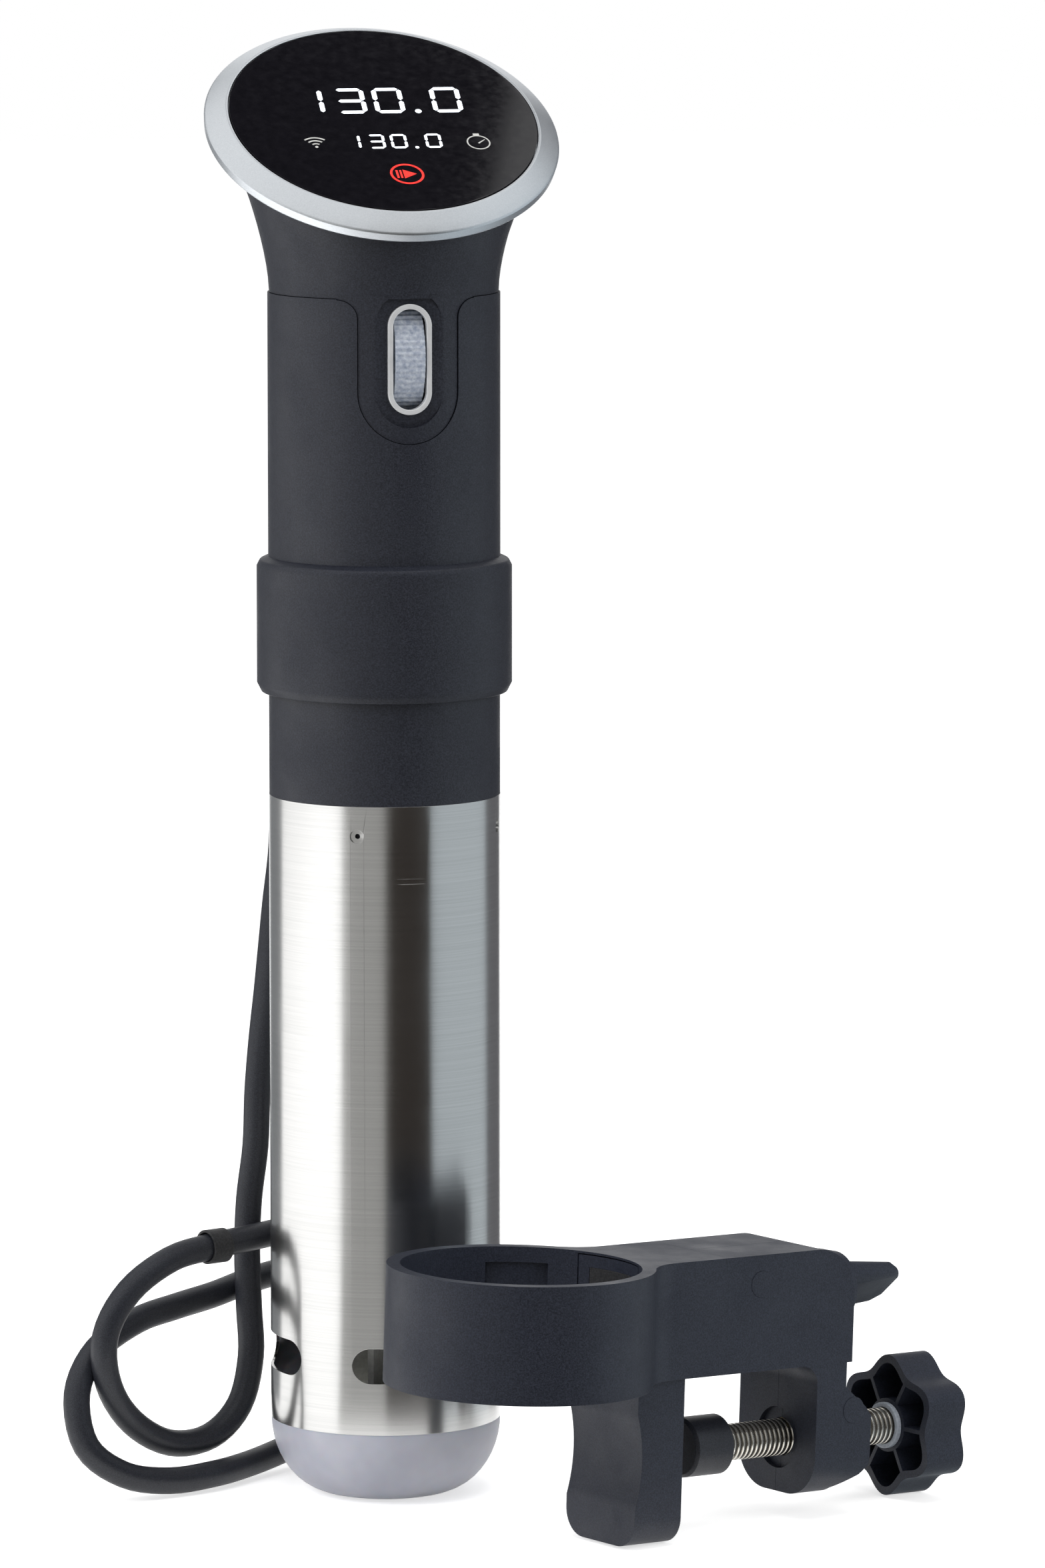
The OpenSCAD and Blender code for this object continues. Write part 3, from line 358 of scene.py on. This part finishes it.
def dress(obj, edge_mm):
    """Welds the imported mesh, rounds its sharp edges and smooths its curved faces."""
    weld = obj.modifiers.new("weld", "WELD")
    weld.merge_threshold = WELD_DISTANCE
    bevel = obj.modifiers.new("edge", "BEVEL")
    bevel.width = edge_mm * MM
    bevel.segments = EDGE_SEGMENTS
    bevel.limit_method = "ANGLE"
    bevel.angle_limit = SHARP_ANGLE
    bevel.use_clamp_overlap = True
    normal = obj.modifiers.new("normal", "WEIGHTED_NORMAL")
    normal.keep_sharp = True
    normal.weight = NORMAL_WEIGHT


def finish_nodes():
    slots = {p["node"]: p["material_slot"] for p in frame["record"]["subparts"]}
    for name, obj in nodes.items():
        slot = "clamp_plastic" if name in CLAMP_NODES else slots[name]
        obj.data.materials.clear()
        obj.data.materials.append(MATERIALS[slot])
        if name != "cord_lead":
            for polygon in obj.data.polygons:
                polygon.use_smooth = True
            dress(obj, EDGE_WIDTH.get(name, PLAIN_EDGE))


finish_nodes()
lead.data.materials.append(MATERIALS["cord_rubber"])

# ------------------------------------------------------------------ pieces made here


def mesh_piece(name, verts, faces, body, material):
    data = bpy.data.meshes.new(name)
    data.from_pydata([tuple(v) for v in verts], [], faces)
    data.validate()
    data.update()
    obj = bpy.data.objects.new(name, data)
    obj.data.materials.append(material)
    scene.collection.objects.link(obj)
    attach(obj, body)
    return obj


def node_centre(name):
    low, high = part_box(name)
    return (low + high) / 2


# Marks on the glass: lit ones, and printed grey ones with a painted glow. Their places are in
# millimetres from its middle.
HEAD_TILT = math.radians(32)
GLASS_T = 2.0
MARK_T = 0.04
DISC_STEPS = 20
DIGIT_LEAN = 0.05
POINT_INSET = 0.15
glass_normal = Vector((0, -math.sin(HEAD_TILT), math.cos(HEAD_TILT)))
glass_top = node_centre("display_glass") + glass_normal * GLASS_T / 2 * MM
glass_frame = Matrix.Translation(glass_top) @ Matrix.Rotation(HEAD_TILT, 4, "X")


def slab(outline, low, high):
    """Points and faces of a flat outline given thickness, in millimetres on the glass."""
    n = len(outline)
    verts = [(x, y, low) for x, y in outline] + [(x, y, high) for x, y in outline]
    faces = [tuple(range(n - 1, -1, -1)), tuple(range(n, 2 * n))]
    faces += [(i, (i + 1) % n, n + (i + 1) % n, n + i) for i in range(n)]
    return verts, faces


def ring_slab(cx, cy, radius, width, low, high, start=0, end=360, steps=48):
    """Points and faces of a flat ring, or of an arc of one between two angles in degrees."""
    full = end - start >= 360
    count = steps if full else steps + 1
    angles = [math.radians(start + (end - start) * i / steps) for i in range(count)]
    verts = []
    for z in (low, high):
        for r in (radius - width / 2, radius + width / 2):
            verts += [(cx + r * math.cos(a), cy + r * math.sin(a), z) for a in angles]
    n = count
    faces = []
    for i in range(n if full else n - 1):
        j = (i + 1) % n
        faces += [(2 * n + i, 3 * n + i, 3 * n + j, 2 * n + j), (i, j, n + j, n + i),
                  (i, 2 * n + i, 2 * n + j, j), (n + i, n + j, 3 * n + j, 3 * n + i)]
    if not full:
        faces += [(0, n, 3 * n, 2 * n), (n - 1, 3 * n - 1, 4 * n - 1, 2 * n - 1)]
    return verts, faces


def on_glass(name, shapes, material):
    """One piece made of flat shapes laid on the tilted glass."""
    verts, faces = [], []
    for shape_verts, shape_faces in shapes:
        base = len(verts)
        verts += [glass_frame @ (Vector(v) * MM) for v in shape_verts]
        faces += [tuple(base + i for i in face) for face in shape_faces]
    return mesh_piece(name, verts, faces, "circulator", material)


# the lit segments of each figure, named clockwise from the top, with g in the middle
SEGMENTS = {"0": "abcdef", "1": "bc", "3": "abcdg"}


def bar(x0, y0, x1, y1, width, lean):
    """A segment with pointed ends between two points, leaning like a display digit."""
    along = Vector((x1 - x0, y1 - y0)).normalized()
    side = Vector((-along.y, along.x)) * width / 2
    a = Vector((x0, y0)) + along * width * POINT_INSET
    b = Vector((x1, y1)) - along * width * POINT_INSET
    inset = along * width / 2
    points = [a, a + inset - side, b - inset - side, b, b - inset + side, a + inset + side]
    return [(p.x + lean * p.y, p.y) for p in points]


def digit(symbol, cx, cy, width, height, stroke):
    """The lit segments of one figure."""
    w, h = width / 2 - stroke / 2, height / 2 - stroke / 2
    ends = {"a": (-w, h, w, h), "b": (w, h, w, 0), "c": (w, 0, w, -h), "d": (-w, -h, w, -h),
            "e": (-w, 0, -w, -h), "f": (-w, h, -w, 0), "g": (-w, 0, w, 0)}
    shapes = []
    for key in SEGMENTS[symbol]:
        outline = [(cx + x, cy + y) for x, y in bar(*ends[key], stroke, DIGIT_LEAN)]
        shapes.append(slab(outline, 0.0, MARK_T))
    return shapes


def disc(cx, cy, radius):
    """A flat dot."""
    angles = [math.tau * i / DISC_STEPS for i in range(DISC_STEPS)]
    return slab([(cx + radius * math.cos(a), cy + radius * math.sin(a)) for a in angles], 0.0, MARK_T)


def block(x0, y0, x1, y1):
    """A flat upright rectangle between two corners."""
    return slab([(x0, y0), (x1, y0), (x1, y1), (x0, y1)], 0.0, MARK_T)


def reading(figures, y, width, height, stroke, dot):
    """Figures at their places along one line, and a dot given by its place and radius."""
    shapes = []
    for symbol, x in figures:
        shapes += digit(symbol, x, y, width, height, stroke)
    return shapes + [disc(*dot)]


def signal_shapes(x, y):
    """Three arcs over a dot."""
    arcs = [ring_slab(x, y, radius, 0.45, 0.0, MARK_T, 48, 132, 16) for radius in (1.3, 2.6, 3.9)]
    return arcs + [disc(x, y - 0.1, 0.42)]


def timer_shapes(x, y):
    """A dial with a button on top and one hand."""
    hand = [(x - 0.2, y - 0.2), (x + 0.1, y - 0.5), (x + 1.9, y + 1.1), (x + 1.8, y + 1.3)]
    return [ring_slab(x, y, 2.9, 0.36, 0.0, MARK_T),
            block(x - 0.8, y + 3.1, x + 0.8, y + 3.9),
            slab(hand, 0.0, MARK_T)]


def start_shapes(x, y):
    """A ring round two upright bars and a triangle."""
    triangle = [(x - 0.9, y - 1.9), (x + 2.5, y), (x - 0.9, y + 1.9)]
    return [ring_slab(x, y, 4.1, 0.62, 0.0, MARK_T, steps=64),
            slab(triangle, 0.0, MARK_T),
            block(x - 2.8, y - 1.7, x - 2.25, y + 1.7),
            block(x - 1.8, y - 1.7, x - 1.3, y + 1.7)]


def display_marks():
    white = glow("lit_white", (0.88, 0.93, 1.0), 1.1)
    # The grey marks are printed, and their faint glow is painted light.
    grey = glow("printed_grey_painted_glow", (0.46, 0.46, 0.44), 0.25)
    red = glow("lit_red", (0.85, 0.02, 0.012), 0.55)
    large = reading((("1", -18.2), ("3", -7.1), ("0", 2.9), ("0", 18.2)), y=8.3, width=7.9, height=11.2,
                    stroke=1.25, dot=(9.9, 3.4, 0.85))
    on_glass("large_digits", large, white)
    small = reading((("1", -10.1), ("3", -3.7), ("0", 2.1), ("0", 11.2)), y=-9.8, width=4.3, height=6.2,
                    stroke=0.72, dot=(6.4, -12.6, 0.5))
    on_glass("small_digits", small, white)
    on_glass("signal_mark", signal_shapes(-19.8, -11.7), grey)
    on_glass("timer_mark", timer_shapes(22.9, -10.8), grey)
    on_glass("start_mark", start_shapes(1.4, -24.2), red)


display_marks()

# ------------------------------------------------------------------ stage and light


def stage_material(name, build):
    material = bpy.data.materials.new(name)
    material.use_nodes = True
    tree = material.node_tree
    tree.nodes.clear()
    build(tree)
    return material


FLOOR_COLOUR = (0.86, 0.86, 0.86, 1)
FLOOR_LIFT = 0.62
FLOOR_SIZE = 12
FLOOR_GAP = 0.0002


def pale_floor(tree):
    """Takes soft shadows, and is lifted to white for what the camera and reflections see."""
    out = tree.nodes.new("ShaderNodeOutputMaterial")
    diffuse = tree.nodes.new("ShaderNodeBsdfDiffuse")
    diffuse.inputs["Color"].default_value = FLOOR_COLOUR
    lift = tree.nodes.new("ShaderNodeEmission")
    path = tree.nodes.new("ShaderNodeLightPath")
    most = tree.nodes.new("ShaderNodeMath")
    most.operation = "MAXIMUM"
    amount = tree.nodes.new("ShaderNodeMath")
    amount.operation = "MULTIPLY"
    amount.inputs[1].default_value = FLOOR_LIFT
    both = tree.nodes.new("ShaderNodeAddShader")
    tree.links.new(path.outputs["Is Camera Ray"], most.inputs[0])
    tree.links.new(path.outputs["Is Glossy Ray"], most.inputs[1])
    tree.links.new(most.outputs[0], amount.inputs[0])
    tree.links.new(amount.outputs[0], lift.inputs["Strength"])
    tree.links.new(diffuse.outputs[0], both.inputs[0])
    tree.links.new(lift.outputs[0], both.inputs[1])
    tree.links.new(both.outputs[0], out.inputs[0])


def make_floor():
    half = FLOOR_SIZE / 2
    data = bpy.data.meshes.new("floor")
    low = -FLOOR_GAP
    data.from_pydata([(-half, -half, low), (half, -half, low), (half, half, low), (-half, half, low)],
                     [], [(0, 1, 2, 3)])
    obj = bpy.data.objects.new("floor", data)
    obj.data.materials.append(stage_material("floor", pale_floor))
    scene.collection.objects.link(obj)


make_floor()


def add_card(name, verts, faces, colour):
    """A plain lit card, hidden from the camera, from soft light and from shadows."""
    data = bpy.data.meshes.new(name)
    data.from_pydata(verts, [], faces)

    def flat(tree):
        out = tree.nodes.new("ShaderNodeOutputMaterial")
        lamp = tree.nodes.new("ShaderNodeEmission")
        lamp.inputs["Color"].default_value = (*colour, 1)
        tree.links.new(lamp.outputs[0], out.inputs[0])

    obj = bpy.data.objects.new(name, data)
    obj.data.materials.append(stage_material(name, flat))
    obj.visible_camera = False
    obj.visible_diffuse = False
    obj.visible_shadow = False
    scene.collection.objects.link(obj)
    return obj


# radius and height along a curved card, which runs out over the floor and then up
CARD_PROFILE = ((0.13, 0.001), (0.30, 0.001), (1.1, 0.25), (1.1, 1.2))
CARD_STEPS = 12


def studio_card(name, start, end, colour):
    """A curved card round the object. Angles in degrees run to the camera's right."""
    rings = len(CARD_PROFILE)
    verts, faces = [], []
    for i in range(CARD_STEPS + 1):
        angle = math.radians(start + (end - start) * i / CARD_STEPS)
        spot = -forward_dir * math.cos(angle) + right_dir * math.sin(angle)
        verts += [(spot.x * radius, spot.y * radius, height) for radius, height in CARD_PROFILE]
    for i in range(CARD_STEPS):
        for j in range(rings - 1):
            first = i * rings + j
            faces.append((first, first + rings, first + rings + 1, first + 1))
    add_card(name, verts, faces, colour).visible_transmission = False


studio_card("card_dark", 1, 48, (0.042, 0.036, 0.032))
studio_card("card_mid", -42, 1, (0.46, 0.46, 0.45))
studio_card("card_right", 47, 118, (0.58, 0.64, 0.68))
studio_card("card_right_edge", 118, 160, (0.16, 0.16, 0.17))
studio_card("card_left_edge", -160, -122, (0.25, 0.26, 0.27))


TOP_CARD_ELEVATION = math.radians(72)
TOP_CARD_DISTANCE = 1.3
TOP_CARD_HALF = 0.22


def overhead_card():
    """A dark card that keeps the tilted glass black."""
    level, rise = math.cos(TOP_CARD_ELEVATION), math.sin(TOP_CARD_ELEVATION)
    up = forward_dir * level + Vector((0, 0, rise))
    centre = glass_top + up * TOP_CARD_DISTANCE
    turn = up.to_track_quat("Z", "Y").to_matrix()
    signs = ((-1, -1), (1, -1), (1, 1), (-1, 1))
    corners = [centre + turn @ Vector((x, y, 0)) * TOP_CARD_HALF for x, y in signs]
    add_card("card_top", [tuple(c) for c in corners], [(0, 1, 2, 3)], (0.03, 0.03, 0.035))


overhead_card()


LAMP_AIM = Vector((0, 0, 0.18))


def soft_lamp(name, azimuth, height, distance, size, power):
    """A square lamp aimed at the object. Azimuth 0 is at the camera, positive to its right."""
    angle = math.radians(azimuth)
    place = (-forward_dir * math.cos(angle) + right_dir * math.sin(angle)) * distance
    place.z = height
    data = bpy.data.lights.new(name, "AREA")
    data.shape = "SQUARE"
    data.size = size
    data.energy = power
    obj = bpy.data.objects.new(name, data)
    obj.location = place
    obj.rotation_euler = (LAMP_AIM - place).to_track_quat("-Z", "Y").to_euler()
    obj.visible_glossy = False
    scene.collection.objects.link(obj)


soft_lamp("lamp_left", azimuth=-60, height=1.1, distance=1.5, size=0.9, power=16)
soft_lamp("lamp_right", azimuth=65, height=0.8, distance=1.6, size=0.8, power=9)
soft_lamp("lamp_top", azimuth=10, height=2.2, distance=0.6, size=1.2, power=16)


WORLD_FILL = 0.55


def studio_world():
    """White where it is seen or mirrored, and dimmer as a source of soft light."""
    world = bpy.data.worlds.new("studio")
    scene.world = world
    world.use_nodes = True
    tree = world.node_tree
    back = tree.nodes["Background"]
    back.inputs["Color"].default_value = (1, 1, 1, 1)
    path = tree.nodes.new("ShaderNodeLightPath")
    first = tree.nodes.new("ShaderNodeMath")
    first.operation = "MAXIMUM"
    second = tree.nodes.new("ShaderNodeMath")
    second.operation = "MAXIMUM"
    level = tree.nodes.new("ShaderNodeMapRange")
    level.inputs["To Min"].default_value = WORLD_FILL
    level.inputs["To Max"].default_value = 1.0
    tree.links.new(path.outputs["Is Camera Ray"], first.inputs[0])
    tree.links.new(path.outputs["Is Glossy Ray"], first.inputs[1])
    tree.links.new(first.outputs[0], second.inputs[0])
    tree.links.new(path.outputs["Is Transmission Ray"], second.inputs[1])
    tree.links.new(second.outputs[0], level.inputs["Value"])
    tree.links.new(level.outputs["Result"], back.inputs["Strength"])


studio_world()
scene.view_settings.view_transform = "Standard"
